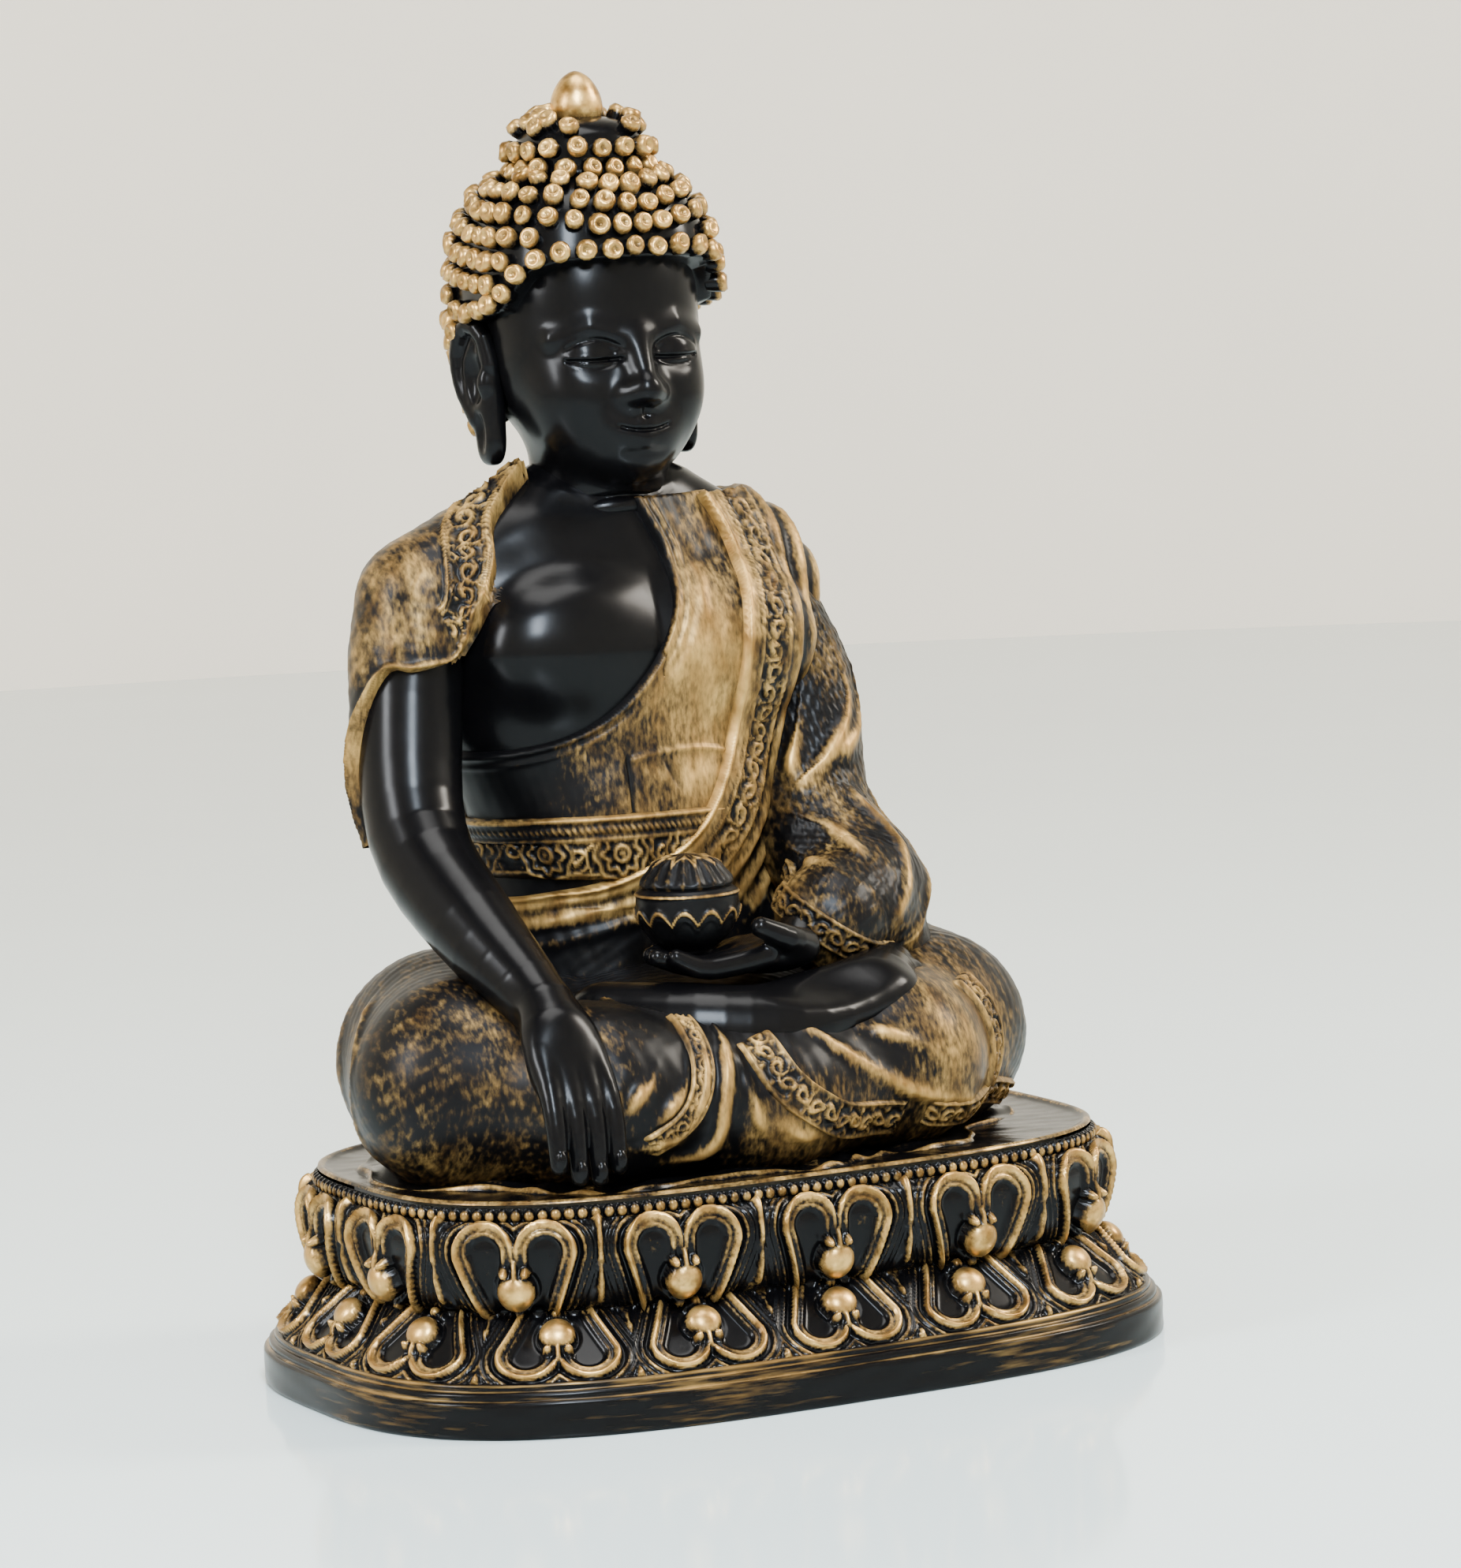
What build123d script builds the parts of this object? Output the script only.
from build123d import *
import os
from math import copysign, cos, pi, sin

# A seated Buddha statue, cast and dressed by hand, on an oval double-lotus throne.
# Millimetres. +Z is up, the figure faces -Y, and its right side is at -X.
# The origin is on the floor under the middle of the throne.

os.makedirs("parts", exist_ok=True)

# ---------------------------------------------------------------- throne sizes
base_width = 172.0            # whole width of the plinth, left to right
base_depth = 124.5            # whole depth of the plinth, front to back
oval_power = 3.1              # 2 is an ellipse, higher is squarer
outline_points = 40           # points that carry the oval outline

felt_thickness = 1.5
cover_thickness = 3.0
plinth_band = 7.0             # plain upright band of the plinth
plinth_step = 1.5             # each of the two stepped mouldings above it
step_inset = 1.2
lower_lotus_height = 11.0     # sloping ring of down-turned petals
upper_lotus_height = 17.0     # bulging ring of up-turned petals
bead_height = 2.5             # row of pearls round the seat
seat_thickness = 1.5

waist_inset = 13.0            # groove between the two lotus rings
petal_inset = 8.5             # widest place of the upper petals
bead_inset = 11.0             # pearls, in from the plinth's edge
seat_inset = 12.0
shell_wall = 6.0              # thickness of the cast lotus rings
plinth_wall = 8.0             # rim that the cover drops into
shelf_width = 10.0            # ledge that the cover screws bite into

# ---------------------------------------------------------------- figure sizes
knee_span = 144.0             # knee to knee
knee_radius = 19.0
knee_offset = 3.0             # the knees stand this much further to the right side
lap_depth = 92.0              # front hem to back of the hips
lap_height = 37.0             # seat to the top of the crossed legs
torso_sink = 8.0              # depth of the torso's foot in the lap
torso_back = 31.0             # how far the spine stands behind the middle
waist_half = 29.0
waist_depth_half = 20.0
chest_half = 39.0
chest_depth_half = 21.5
shoulder_span = 80.0          # between the two ends of the collar bones
shoulder_drop = 3.0           # the right shoulder stands this much over the middle, the left under
torso_height = 92.0           # lap top to the chin
neck_radius = 14.5
neck_height = 12.0
head_back = 4.0               # the head's axis behind the torso's
head_half = 22.0
head_depth_half = 22.5
head_height = 54.0            # chin to crown, without the hair
hair_thickness = 6.0
hair_side = 3.6
topknot_half = 14.5
topknot_height = 10.0
finial_radius = 5.0
finial_height = 9.5
ear_height = 25.0
ear_thickness = 4.0
ear_width = 11.0

robe_thickness = 1.6          # inner robe
sash_thickness = 1.3          # woven belt over the inner robe
wrap_thickness = 3.2          # outer robe
arm_radius = 9.5
hand_x = -46.0                # the right hand hangs over the shin here
forearm_radius = 8.0
wrist_radius = 6.5
sleeve_radius = 11.5
sleeve_mouth_radius = 12.0
cuff_length = 7.0
hand_thickness = 8.5
hand_width = 16.0
foot_thickness = 10.0
foot_width = 15.0
bowl_radius = 10.0
bowl_height = 11.0
offering_height = 5.5
hem_thickness = 2.2           # robe hem spread on the seat

# ---------------------------------------------------------------- shares that shape the body
# Each trunk row: share of the torso's height, half width, half depth, step back of its middle.
waist_share = 0.24
breast_share = 0.46
armpit_share = 0.66
collar_share = 0.80
shoulder_share = 0.75
hip_extra = 3.0               # hips, wider than the waist on each side
hip_depth_extra = 2.0
breast_taper = 3.0            # breast, narrower than the chest on each side
collar_width_share = 0.8
collar_taper = 4.0
collar_back = 1.0
throat_back = 2.0
throat_extra = 3.0
yoke_radius = 12.0            # round of the shoulders
yoke_end_radius = 10.5
yoke_inner_share = 0.45
yoke_outer_share = 0.85
yoke_rise = 7.0

# Legs: height of the bone line over the seat, and the radius of the cloth round it.
hip_rise = 20.0
hip_radius = 20.0
knee_rise = 17.0
shin_rise = 14.0
shin_radius = 15.0
crossing_rise = 12.0
crossing_radius = 13.0
hip_x_share = 0.6
thigh_x_share = 0.9
thigh_forward = 14.0
knee_forward = 28.0
shin_y_share = 0.28           # of the lap's depth, forward of the middle
crossing_y_share = 0.32

# Lap mound: height from its level, half width from the knee line, share of the lap's depth, middle.
mound_foot = -6.0
mound_belly = 8.0
mound_shoulder = 22.0
mound_crown = -2.0
mound_middle = 4.0
mound_shares = (0.45, 0.48, 0.42, 0.30)

# Arms: steps from the shoulder, in from the torso's back line.
arm_out = 4.0
elbow_out = 10.0
upper_arm_drop = 24.0
elbow_forward = 16.0
arm_back = 1.0
upper_arm_forward = 4.0
forearm_rise = 8.0
forearm_out = 7.0
forearm_forward = 6.0
wrist_y_share = 0.29
knuckle_y_share = 0.42
finger_y_share = 0.475
fingertip_y_share = 0.49
wrist_drop = 4.0
knuckle_drop = 12.0
finger_drop = 21.0
fingertip_clearance = 5.0     # fingertips, over the seat
sleeve_shoulder_in = 8.0
sleeve_arm_drop = 20.0
sleeve_elbow_in = 6.0
sleeve_elbow_forward = 14.0
sleeve_swell = 2.0
finger_radius = 2.1
finger_pitch_share = 4.4
palm_point = (5.0, -19.0, 80.0)
foot_points = ((2.0, -31.3, 67.0), (22.0, -24.8, 71.0), (35.0, -12.0, 73.0))

# ---------------------------------------------------------------- joining sizes
dowel_radius = 3.0
dowel_length = 22.0
dowel_clearance = 0.15
screw_radius = 1.5
screw_head_radius = 3.0
screw_head_height = 1.6
screw_length = 8.0
seat_screw_length = 14.0
screw_clearance = 0.15
dome_reach = 0.75             # how far a limb's domed end passes its last point, in radii
dome_taper = 0.5

# ---------------------------------------------------------------- derived levels
half_width = base_width / 2
half_depth = base_depth / 2
cover_top = felt_thickness + cover_thickness
plinth_top = plinth_band + 2 * plinth_step
waist_level = plinth_top + lower_lotus_height
bead_level = waist_level + upper_lotus_height
seat_level = bead_level + bead_height
seat_top = seat_level + seat_thickness
lap_top = seat_top + lap_height
torso_foot = lap_top - torso_sink
neck_level = lap_top + torso_height - neck_height
chin_level = neck_level + neck_height
crown_level = chin_level + head_height
topknot_level = crown_level + hair_thickness
finial_level = topknot_level + topknot_height
ear_level = chin_level + 0.12 * head_height


def signed_power(value, power):
    return copysign(abs(value) ** power, value)


def oval_outline(inset):
    """Points of the throne's oval, drawn in from the plinth's edge by inset."""
    points = []
    for step in range(outline_points):
        turn = 2 * pi * step / outline_points
        x = (half_width - inset) * signed_power(cos(turn), 2 / oval_power)
        y = (half_depth - inset) * signed_power(sin(turn), 2 / oval_power)
        points.append((x, y))
    return points


def oval_form(levels):
    """Solid through ovals given as (height, inset), ruled between each pair."""
    with BuildPart() as form:
        for (low, low_inset), (high, high_inset) in zip(levels, levels[1:]):
            for level, inset in ((low, low_inset), (high, high_inset)):
                with BuildSketch(Plane.XY.offset(level)):
                    with BuildLine():
                        Spline(*oval_outline(inset), periodic=True)
                    make_face()
            loft(ruled=True)
    return form.part


def stacked_form(sections):
    """Solid through ellipses given as (height, y, half width, half depth)."""
    with BuildPart() as form:
        for level, back, half_x, half_y in sections:
            with BuildSketch(Plane.XY.offset(level)):
                with Locations((0, back)):
                    Ellipse(half_x, half_y)
        loft()
    return form.part


def limb_form(joints, side=(1, 0, 0), domed=(True, True)):
    """Limb through (point, half width, half thickness); a domed end tapers off past its point."""
    points = [Vector(*joint[0]) for joint in joints]
    halves = [(joint[1], joint[2]) for joint in joints]
    for end, inner, wanted in ((0, 1, domed[0]), (-1, -2, domed[1])):
        if wanted:
            out = (points[end] - points[inner]).normalized()
            tip = points[end] + out * (dome_reach * halves[end][1])
            small = (halves[end][0] * dome_taper, halves[end][1] * dome_taper)
            points.insert(0 if end == 0 else len(points), tip)
            halves.insert(0 if end == 0 else len(halves), small)
    with BuildPart() as form:
        for index, point in enumerate(points):
            before = points[max(index - 1, 0)]
            after = points[min(index + 1, len(points) - 1)]
            along = (after - before).normalized()
            across = Vector(*side) - along * Vector(*side).dot(along)
            with BuildSketch(Plane(origin=point, x_dir=across, z_dir=along)):
                Ellipse(*halves[index])
        loft()
    return form.part


def round_limb_form(joints, domed=(True, True)):
    """Round limb through (point, radius)."""
    return limb_form([(point, radius, radius) for point, radius in joints], domed=domed)


def rounded_form(centre, radii):
    """Ellipsoid with its three half sizes."""
    with BuildPart() as form:
        Sphere(1)
        scale(by=radii)
    return form.part.moved(Location(centre))


# ---------------------------------------------------------------- body sections
torso_sections = [
    (torso_foot, torso_back, waist_half + hip_extra, waist_depth_half + hip_depth_extra),
    (lap_top + waist_share * torso_height, torso_back, waist_half, waist_depth_half),
    (lap_top + breast_share * torso_height, torso_back, chest_half - breast_taper, chest_depth_half),
    (lap_top + armpit_share * torso_height, torso_back, chest_half, chest_depth_half),
    (lap_top + collar_share * torso_height, torso_back + collar_back,
     chest_half * collar_width_share, chest_depth_half - collar_taper),
    (neck_level + collar_taper, torso_back + throat_back, neck_radius + throat_extra,
     neck_radius + collar_back),
]
shoulder_x = shoulder_span / 2
shoulder_level = lap_top + shoulder_share * torso_height
right_shoulder_level = shoulder_level + shoulder_drop
left_shoulder_level = shoulder_level - shoulder_drop
yoke_y = torso_back + collar_back
yoke_sections = [
    ((-shoulder_x * yoke_outer_share, yoke_y, right_shoulder_level + collar_back), yoke_end_radius),
    ((-shoulder_x * yoke_inner_share, yoke_y, right_shoulder_level + yoke_rise - collar_back), yoke_radius),
    ((shoulder_x * yoke_inner_share, yoke_y, left_shoulder_level + yoke_rise + collar_back), yoke_radius),
    ((shoulder_x * yoke_outer_share, yoke_y, left_shoulder_level + collar_back), yoke_end_radius - 1),
]


def wrapped_torso(extra):
    """The torso and its shoulders, grown on every side by the cloth that lies on them."""
    with BuildPart() as form:
        add(stacked_form([(level, back, half_x + extra, half_y + extra)
                          for level, back, half_x, half_y in torso_sections]))
        add(limb_form([(point, radius + extra, radius + extra) for point, radius in yoke_sections],
                      side=(0, 1, 0)))
    return form.part


elbow_level = lap_top + waist_share * torso_height
right_shoulder = (-shoulder_x - arm_out, torso_back - arm_back, right_shoulder_level)
right_upper_arm = (-shoulder_x - arm_out - hip_depth_extra, torso_back - upper_arm_forward,
                   right_shoulder_level - upper_arm_drop)
right_elbow = (-shoulder_x - elbow_out, torso_back - elbow_forward, elbow_level)
right_forearm = (-shoulder_x - forearm_out, -forearm_forward, lap_top + forearm_rise)
right_wrist = (hand_x + 1, -lap_depth * wrist_y_share, lap_top - wrist_drop)
right_knuckles = (hand_x, -lap_depth * knuckle_y_share, lap_top - knuckle_drop)
finger_bend = (hand_x, -lap_depth * finger_y_share, lap_top - finger_drop)
right_fingertips = (hand_x, -lap_depth * fingertip_y_share, seat_top + fingertip_clearance)
left_shoulder = (shoulder_x - sleeve_shoulder_in, torso_back - arm_back, left_shoulder_level - 1)
left_upper_arm = (shoulder_x - 1, torso_back - upper_arm_forward, left_shoulder_level - sleeve_arm_drop)
left_elbow = (shoulder_x - sleeve_elbow_in, torso_back - sleeve_elbow_forward, elbow_level - 2)
left_forearm = (shoulder_x - upper_arm_forward, 1, lap_top + forearm_rise)
left_wrist = (waist_half - 5, -8, lap_top + wrist_drop)
left_fingertips = (-waist_half / 2, -25, lap_top + 1)
bowl_centre = (-9.0, -15.0)
bowl_foot = lap_top + hand_thickness / 2

# ---------------------------------------------------------------- whole forms
torso_form = wrapped_torso(0)
robe_form = wrapped_torso(robe_thickness)
sash_form = wrapped_torso(robe_thickness + sash_thickness)
wrap_form = wrapped_torso(robe_thickness + wrap_thickness)

knee_x = knee_span / 2 - knee_radius - 1
leg_back = torso_back - 4


def leg_form(side):
    """One crossed leg: hip, knee and shin, on the side given as -1 or 1."""
    knee = side * knee_x - knee_offset
    return round_limb_form([
        ((side * knee_x * hip_x_share, leg_back, seat_top + hip_rise), hip_radius),
        ((knee * thigh_x_share, leg_back - thigh_forward, seat_top + hip_rise), knee_radius + 1),
        ((knee, leg_back - knee_forward, seat_top + knee_rise), knee_radius),
        ((knee * hip_x_share, -lap_depth * shin_y_share, seat_top + shin_rise), shin_radius),
        ((0, -lap_depth * crossing_y_share, seat_top + crossing_rise), crossing_radius),
    ])


with BuildPart() as lap_blank:
    add(stacked_form([
        (seat_top + mound_foot, mound_middle, knee_x + 2, lap_depth * mound_shares[0]),
        (seat_top + mound_belly, mound_middle, knee_x + 4, lap_depth * mound_shares[1]),
        (seat_top + mound_shoulder, mound_middle + 1, knee_x, lap_depth * mound_shares[2]),
        (lap_top + mound_crown, 2 * mound_middle, knee_x * 0.7, lap_depth * mound_shares[3]),
    ]))
    add(leg_form(-1))
    add(leg_form(1))
    split(bisect_by=Plane.XY.offset(seat_top), keep=Keep.TOP)
lap_form = lap_blank.part

right_arm_form = round_limb_form([
    (right_shoulder, arm_radius),
    (right_upper_arm, arm_radius),
    (right_elbow, arm_radius - 0.5),
    (right_forearm, forearm_radius),
    (right_wrist, wrist_radius),
], domed=(True, False))
right_palm_form = limb_form([
    (right_wrist, wrist_radius + 0.3, wrist_radius * 0.8),
    (right_knuckles, hand_width / 2, hand_thickness / 2),
    (finger_bend, hand_width / 2 - 0.5, hand_thickness / 2 - 1),
], domed=(False, False))
left_sleeve_form = round_limb_form([
    (left_shoulder, sleeve_radius),
    (left_upper_arm, sleeve_radius),
    (left_elbow, sleeve_radius),
    (left_forearm, sleeve_radius + sleeve_swell),
    (left_wrist, sleeve_mouth_radius),
], domed=(True, False))
cuff_end = Vector(*left_wrist) + (Vector(*left_wrist) - Vector(*left_forearm)).normalized() * cuff_length
left_cuff_form = round_limb_form([
    (left_wrist, sleeve_mouth_radius),
    (tuple(cuff_end), sleeve_mouth_radius - 1.5),
], domed=(False, False))
left_hand_form = limb_form([
    ((left_wrist[0] + 1, left_wrist[1] - 1, left_wrist[2] - 1), wrist_radius, wrist_radius * 0.8),
    (palm_point, hand_width / 2 + 1, hand_thickness / 2),
    (left_fingertips, hand_width / 2 - 2, hand_thickness / 2 - 1),
], side=(0, 1, 0), domed=(False, True))
right_foot_form = limb_form([
    (foot_points[0], foot_thickness / 2, foot_width / 2 - 2),
    (foot_points[1], foot_thickness / 2 + 1, foot_width / 2),
    (foot_points[2], foot_thickness / 2 - 1, foot_width / 2 - 1),
], side=(0, 0, 1))
shoulder_wrap_form = round_limb_form([
    ((-shoulder_x * 0.5, yoke_y - 1, right_shoulder_level + 5), 12 + wrap_thickness),
    ((right_shoulder[0] + 2, right_shoulder[1], right_shoulder_level + 1), arm_radius + 1 + wrap_thickness),
    (right_upper_arm, arm_radius + wrap_thickness),
], domed=(False, False))
neck_y = torso_back + 3
head_y = torso_back + head_back
neck_form = stacked_form([
    (neck_level, neck_y, neck_radius + 0.6, neck_radius),
    (chin_level + 6, neck_y, neck_radius - 0.4, neck_radius - 1),
])
with BuildPart() as head_blank:
    add(neck_form)
    add(stacked_form([
        (chin_level, head_y - 7, head_half * 0.42, head_depth_half * 0.55),
        (chin_level + 0.12 * head_height, head_y - 3, head_half * 0.8, head_depth_half * 0.85),
        (chin_level + 0.40 * head_height, head_y, head_half, head_depth_half),
        (chin_level + 0.70 * head_height, head_y, head_half, head_depth_half),
        (chin_level + 0.92 * head_height, head_y, head_half * 0.72, head_depth_half * 0.74),
        (crown_level, head_y, head_half * 0.3, head_depth_half * 0.3),
    ]))
head_form = head_blank.part
hair_form = stacked_form([
    (chin_level + 0.12 * head_height, head_y + 1, head_half * 0.8, head_depth_half * 0.9),
    (chin_level + 0.40 * head_height, head_y, head_half + hair_side, head_depth_half + hair_side),
    (chin_level + 0.70 * head_height, head_y, head_half + hair_side, head_depth_half + hair_side),
    (chin_level + 0.92 * head_height, head_y, head_half * 0.92, head_depth_half * 0.92),
    (topknot_level, head_y, head_half * 0.55, head_depth_half * 0.55),
])
topknot_form = stacked_form([
    (crown_level - 1, head_y, topknot_half, topknot_half),
    (topknot_level + topknot_height * 0.55, head_y, topknot_half - 2, topknot_half - 2),
    (finial_level, head_y, finial_radius + 1, finial_radius + 1),
])


def ear_form(side):
    """Long ear with its drooping lobe, a flat oval standing beside the head."""
    inner = side * (head_half - 1)
    with BuildPart() as form:
        with BuildSketch(Plane.YZ.offset(inner)):
            with Locations((head_y + 2, ear_level + ear_height / 2)):
                Ellipse(ear_width / 2, ear_height / 2)
        extrude(amount=side * ear_thickness)
    return form.part


# ---------------------------------------------------------------- throne pieces
with BuildPart() as plinth:
    add(oval_form([(0, 0), (plinth_band, 0)]))
    add(oval_form([(plinth_band, step_inset), (plinth_band + plinth_step, step_inset)]))
    add(oval_form([(plinth_band + plinth_step, 2 * step_inset), (plinth_top, 2 * step_inset)]))
    add(oval_form([(0, plinth_wall), (cover_top, plinth_wall)]), mode=Mode.SUBTRACT)
    add(oval_form([(cover_top, plinth_wall + shelf_width), (plinth_top, plinth_wall + shelf_width)]),
        mode=Mode.SUBTRACT)

screw_places = [
    (half_width - plinth_wall - shelf_width / 2, 0),
    (-half_width + plinth_wall + shelf_width / 2, 0),
    (0, half_depth - plinth_wall - shelf_width / 2),
    (0, -half_depth + plinth_wall + shelf_width / 2),
]
seat_screw_places = [(-knee_x * 0.6, 0), (knee_x * 0.6, 0), (0, torso_back)]


def screw_form(head_level, length, radius_extra, head_extra):
    """Upright flat-headed screw, head down, or the hole for it."""
    with BuildPart() as form:
        with BuildSketch(Plane.XY.offset(head_level)):
            Circle(screw_head_radius + head_extra)
        extrude(amount=screw_head_height)
        with BuildSketch(Plane.XY.offset(head_level)):
            Circle(screw_radius + radius_extra)
        extrude(amount=length)
    return form.part


cover_screw = screw_form(felt_thickness, screw_length, 0, 0)
cover_screw_hole = screw_form(felt_thickness, screw_length, 0, screw_clearance)
seat_screw_head = seat_level - screw_head_height
seat_screw = screw_form(seat_screw_head, seat_screw_length, 0, 0)
seat_screw_hole = screw_form(seat_screw_head, seat_screw_length, 0, screw_clearance)

with BuildPart() as cover_screws:
    for x, y in screw_places:
        add(cover_screw.moved(Location((x, y, 0))))

with BuildPart() as seat_screws:
    for x, y in seat_screw_places:
        add(seat_screw.moved(Location((x, y, 0))))

with BuildPart() as cover_screw_holes:
    for x, y in screw_places:
        add(cover_screw_hole.moved(Location((x, y, 0))))

with BuildPart() as seat_screw_holes:
    for x, y in seat_screw_places:
        add(seat_screw_hole.moved(Location((x, y, 0))))

with BuildPart() as felt_pad:
    add(oval_form([(0, plinth_wall), (felt_thickness, plinth_wall)]))

with BuildPart() as bottom_cover:
    add(oval_form([(felt_thickness, plinth_wall), (cover_top, plinth_wall)]))
    add(cover_screw_holes.part, mode=Mode.SUBTRACT)

with BuildPart() as plinth_drilled:
    add(plinth.part)
    add(cover_screw_holes.part, mode=Mode.SUBTRACT)

with BuildPart() as lower_lotus:
    add(oval_form([(plinth_top, 2 * step_inset), (plinth_top + 2, 2 * step_inset),
                   (waist_level, waist_inset)]))
    add(oval_form([(plinth_top, plinth_wall + shelf_width), (waist_level, plinth_wall + shelf_width)]),
        mode=Mode.SUBTRACT)

with BuildPart() as upper_lotus:
    add(oval_form([(waist_level, waist_inset), (waist_level + upper_lotus_height * 0.6, petal_inset),
                   (bead_level, petal_inset + 1.5)]))
    add(oval_form([(waist_level, plinth_wall + shelf_width), (bead_level, plinth_wall + shelf_width)]),
        mode=Mode.SUBTRACT)

with BuildPart() as bead_rim:
    add(oval_form([(bead_level, bead_inset), (seat_level, bead_inset)]))
    add(oval_form([(bead_level, plinth_wall + shelf_width), (seat_level, plinth_wall + shelf_width)]),
        mode=Mode.SUBTRACT)

with BuildPart() as base_filling:
    add(oval_form([(cover_top, plinth_wall + shelf_width), (seat_level, plinth_wall + shelf_width)]))
    add(seat_screw_holes.part, mode=Mode.SUBTRACT)

with BuildPart() as seat_plate:
    add(oval_form([(seat_level, seat_inset), (seat_top, seat_inset)]))
    add(seat_screw_holes.part, mode=Mode.SUBTRACT)

# ---------------------------------------------------------------- joining pieces
torso_dowel_places = [(-waist_half / 2, torso_back), (waist_half / 2, torso_back)]


def dowel_form(x, y, middle, extra):
    """Upright round dowel, or its hole when extra is the clearance."""
    with BuildPart() as form:
        with BuildSketch(Plane.XY.offset(middle - dowel_length / 2)):
            with Locations((x, y)):
                Circle(dowel_radius + extra)
        extrude(amount=dowel_length)
    return form.part


with BuildPart() as neck_dowel:
    add(dowel_form(0, neck_y, neck_level, 0))
neck_dowel_hole = dowel_form(0, neck_y, neck_level, dowel_clearance)

with BuildPart() as torso_dowels:
    for x, y in torso_dowel_places:
        add(dowel_form(x, y, torso_foot, 0))

with BuildPart() as torso_dowel_holes:
    for x, y in torso_dowel_places:
        add(dowel_form(x, y, torso_foot, dowel_clearance))

# ---------------------------------------------------------------- figure pieces
with BuildPart() as lap:
    add(lap_form)
    for cutter in (torso_form, torso_dowel_holes.part, seat_screw_holes.part):
        add(cutter, mode=Mode.SUBTRACT)

with BuildPart() as torso:
    add(torso_form)
    for cutter in (neck_dowel_hole, torso_dowel_holes.part, neck_form):
        add(cutter, mode=Mode.SUBTRACT)

with BuildPart() as seat_cloth:
    with BuildSketch(Plane.XY.offset(seat_top)):
        with Locations((0, -lap_depth * 0.05)):
            Ellipse(knee_span / 2 - 1, lap_depth * 0.47)
    extrude(amount=hem_thickness)
    add(lap_form, mode=Mode.SUBTRACT)
    split(bisect_by=Plane.XZ.offset(2), keep=Keep.TOP)

belt_low = lap_top + 0.25 * torso_height
belt_high = belt_low + 9
neckline_level = lap_top + 0.62 * torso_height
diagonal_low = (-waist_half - 8, lap_top + 4)
diagonal_high = (neck_radius - 3, neck_level + 6)

with BuildPart() as neckline_cut:
    with BuildSketch(Plane.XZ.offset(-torso_back)):
        with BuildLine():
            Polyline((-chest_half - 20, neckline_level), (-chest_half * 0.6, neckline_level - 6),
                     (0, neckline_level - 14), (chest_half * 0.9, chin_level + 10),
                     (-chest_half - 20, chin_level + 10), close=True)
        make_face()
    extrude(amount=80)

with BuildPart() as diagonal_cut:
    with BuildSketch(Plane.XZ.offset(-torso_back)):
        with BuildLine():
            Polyline(diagonal_low, diagonal_high, (diagonal_high[0], chin_level + 10),
                     (-chest_half - 30, chin_level + 10), (-chest_half - 30, diagonal_low[1]),
                     close=True)
        make_face()
    extrude(amount=80)

with BuildPart() as inner_robe:
    add(robe_form)
    for cutter in (torso_form, neckline_cut.part, lap_form, right_arm_form, head_form):
        add(cutter, mode=Mode.SUBTRACT)

with BuildPart() as waist_sash:
    add(sash_form)
    split(bisect_by=Plane.XY.offset(belt_low), keep=Keep.TOP)
    split(bisect_by=Plane.XY.offset(belt_high), keep=Keep.BOTTOM)
    add(robe_form, mode=Mode.SUBTRACT)

with BuildPart() as outer_robe:
    add(wrap_form)
    for cutter in (torso_form, inner_robe.part, waist_sash.part, diagonal_cut.part, lap_form, head_form,
                   right_arm_form):
        add(cutter, mode=Mode.SUBTRACT)

with BuildPart() as right_arm:
    add(right_arm_form)
    for cutter in (torso_form, lap_form):
        add(cutter, mode=Mode.SUBTRACT)

with BuildPart() as shoulder_wrap:
    add(shoulder_wrap_form)
    for cutter in (torso_form, right_arm_form, outer_robe.part, inner_robe.part, head_form):
        add(cutter, mode=Mode.SUBTRACT)

with BuildPart() as right_hand:
    add(right_palm_form)
    for finger in range(4):
        side = (finger - 1.5) * hand_width / finger_pitch_share
        add(round_limb_form([
            ((right_knuckles[0] + side, right_knuckles[1] - 1, right_knuckles[2] - 2), finger_radius),
            ((finger_bend[0] + side, finger_bend[1], finger_bend[2]), finger_radius),
            ((right_fingertips[0] + side * 0.9, right_fingertips[1], right_fingertips[2]),
             finger_radius * 0.85),
        ]))
    for cutter in (right_arm_form, lap_form):
        add(cutter, mode=Mode.SUBTRACT)

with BuildPart() as right_foot:
    add(right_foot_form)
    add(lap_form, mode=Mode.SUBTRACT)

with BuildPart() as left_cuff:
    add(left_cuff_form)
    for cutter in (left_hand_form, lap_form, right_foot.part, wrap_form):
        add(cutter, mode=Mode.SUBTRACT)

with BuildPart() as left_sleeve:
    add(left_sleeve_form)
    for cutter in (torso_form, wrap_form, lap_form, left_hand_form, left_cuff_form, right_foot.part):
        add(cutter, mode=Mode.SUBTRACT)

with BuildPart() as bowl_blank:
    with BuildSketch(Plane.XZ):
        with BuildLine():
            Polyline((0, bowl_foot), (bowl_radius * 0.5, bowl_foot))
            ThreePointArc((bowl_radius * 0.5, bowl_foot), (bowl_radius, bowl_foot + bowl_height * 0.55),
                          (bowl_radius * 0.9, bowl_foot + bowl_height))
            Polyline((bowl_radius * 0.9, bowl_foot + bowl_height), (0, bowl_foot + bowl_height),
                     (0, bowl_foot))
        make_face()
    revolve(axis=Axis.Z)
bowl_form = bowl_blank.part.moved(Location((bowl_centre[0], bowl_centre[1], 0)))
offering_form = rounded_form(
    (bowl_centre[0], bowl_centre[1], bowl_foot + bowl_height - 1),
    (bowl_radius * 0.8, bowl_radius * 0.8, offering_height + 1))

with BuildPart() as left_hand:
    add(left_hand_form)
    for cutter in (lap_form, right_foot.part):
        add(cutter, mode=Mode.SUBTRACT)

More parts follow.
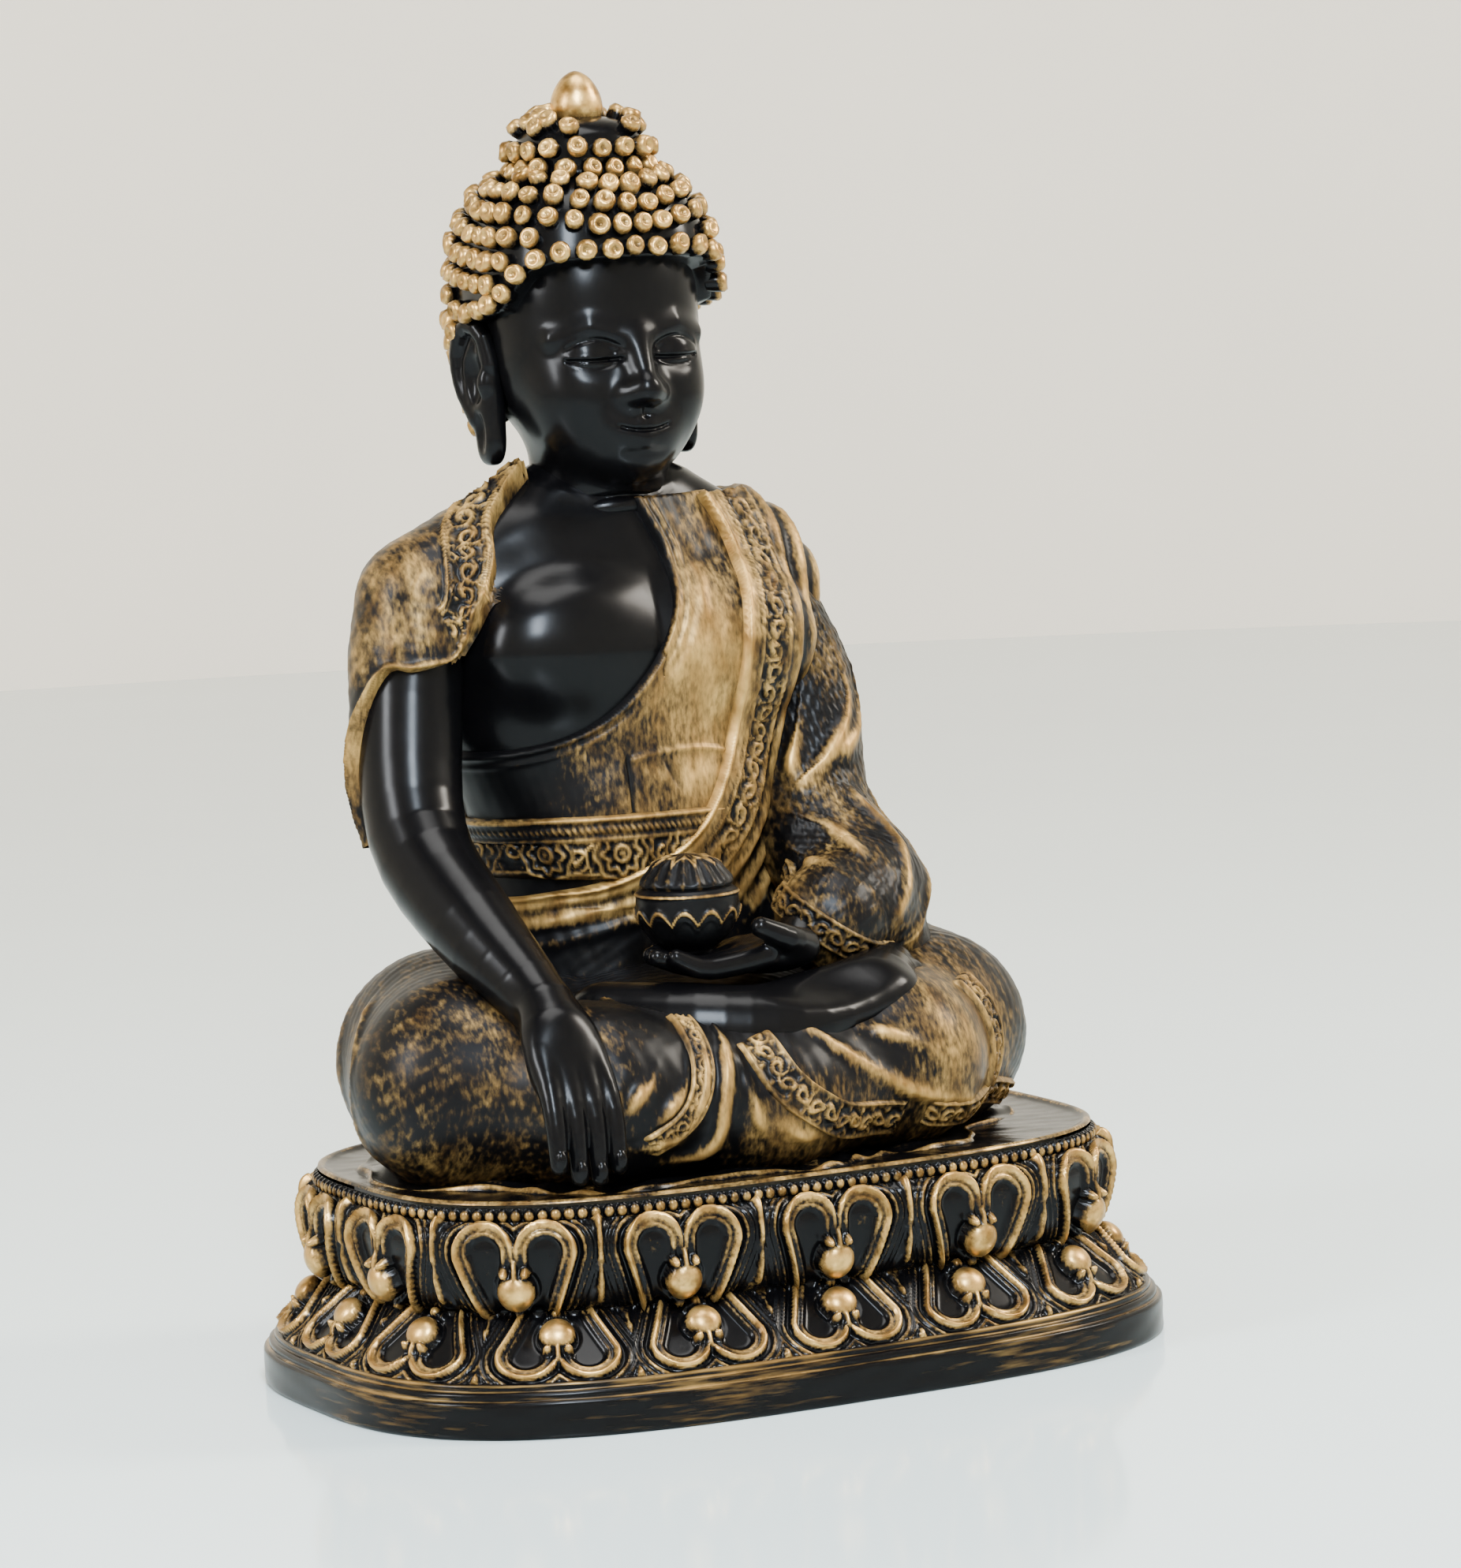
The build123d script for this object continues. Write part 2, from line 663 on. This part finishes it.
with BuildPart() as alms_bowl:
    add(bowl_form)
    for cutter in (offering_form, left_hand_form, lap_form, wrap_form, left_cuff_form):
        add(cutter, mode=Mode.SUBTRACT)

with BuildPart() as bowl_offering:
    add(offering_form)

# ---------------------------------------------------------------- head pieces
face_front = head_y - 6
with BuildPart() as face_cut:
    with BuildSketch(Plane.XZ.offset(-face_front)):
        with BuildLine():
            Polyline((-head_half - 20, chin_level - 20), (head_half + 20, chin_level - 20),
                     (head_half + 20, chin_level + 0.45 * head_height),
                     (head_half * 0.85, chin_level + 0.78 * head_height),
                     (-head_half * 0.85, chin_level + 0.78 * head_height),
                     (-head_half - 20, chin_level + 0.45 * head_height), close=True)
        make_face()
    extrude(amount=80)

with BuildPart() as head:
    add(head_form)
    add(neck_dowel_hole, mode=Mode.SUBTRACT)

with BuildPart() as hair_cap:
    add(hair_form)
    for cutter in (head_form, face_cut.part, ear_form(-1), ear_form(1)):
        add(cutter, mode=Mode.SUBTRACT)

with BuildPart() as right_ear:
    add(ear_form(-1))
    add(head_form, mode=Mode.SUBTRACT)

with BuildPart() as left_ear:
    add(ear_form(1))
    add(head_form, mode=Mode.SUBTRACT)

with BuildPart() as topknot:
    add(topknot_form)
    for cutter in (hair_form, head_form):
        add(cutter, mode=Mode.SUBTRACT)

with BuildPart() as finial:
    add(rounded_form((0, head_y, finial_level + finial_height * 0.42),
                     (finial_radius, finial_radius, finial_height * 0.58)))
    for cutter in (topknot_form, hair_form, head_form):
        add(cutter, mode=Mode.SUBTRACT)

# ---------------------------------------------------------------- write the pieces
pieces = {
    "felt_pad": felt_pad, "bottom_cover": bottom_cover, "cover_screws": cover_screws,
    "plinth": plinth_drilled, "lower_lotus": lower_lotus, "upper_lotus": upper_lotus,
    "bead_rim": bead_rim, "base_filling": base_filling, "seat_plate": seat_plate,
    "seat_screws": seat_screws, "lap": lap, "seat_cloth": seat_cloth,
    "torso_dowels": torso_dowels, "torso": torso, "inner_robe": inner_robe,
    "waist_sash": waist_sash, "outer_robe": outer_robe, "shoulder_wrap": shoulder_wrap,
    "right_arm": right_arm, "right_hand": right_hand, "left_sleeve": left_sleeve,
    "left_cuff": left_cuff, "left_hand": left_hand, "right_foot": right_foot,
    "alms_bowl": alms_bowl, "bowl_offering": bowl_offering, "neck_dowel": neck_dowel,
    "head": head, "hair_cap": hair_cap, "right_ear": right_ear, "left_ear": left_ear,
    "topknot": topknot, "finial": finial,
}
for name, piece in pieces.items():
    piece.part.label = name
    export_step(piece.part, f"parts/{name}.step")
    box = piece.part.bounding_box()
    print(name, len(piece.part.solids()), "solids", round(piece.part.volume, 1), "mm3",
          "z", round(box.min.Z, 1), round(box.max.Z, 1))
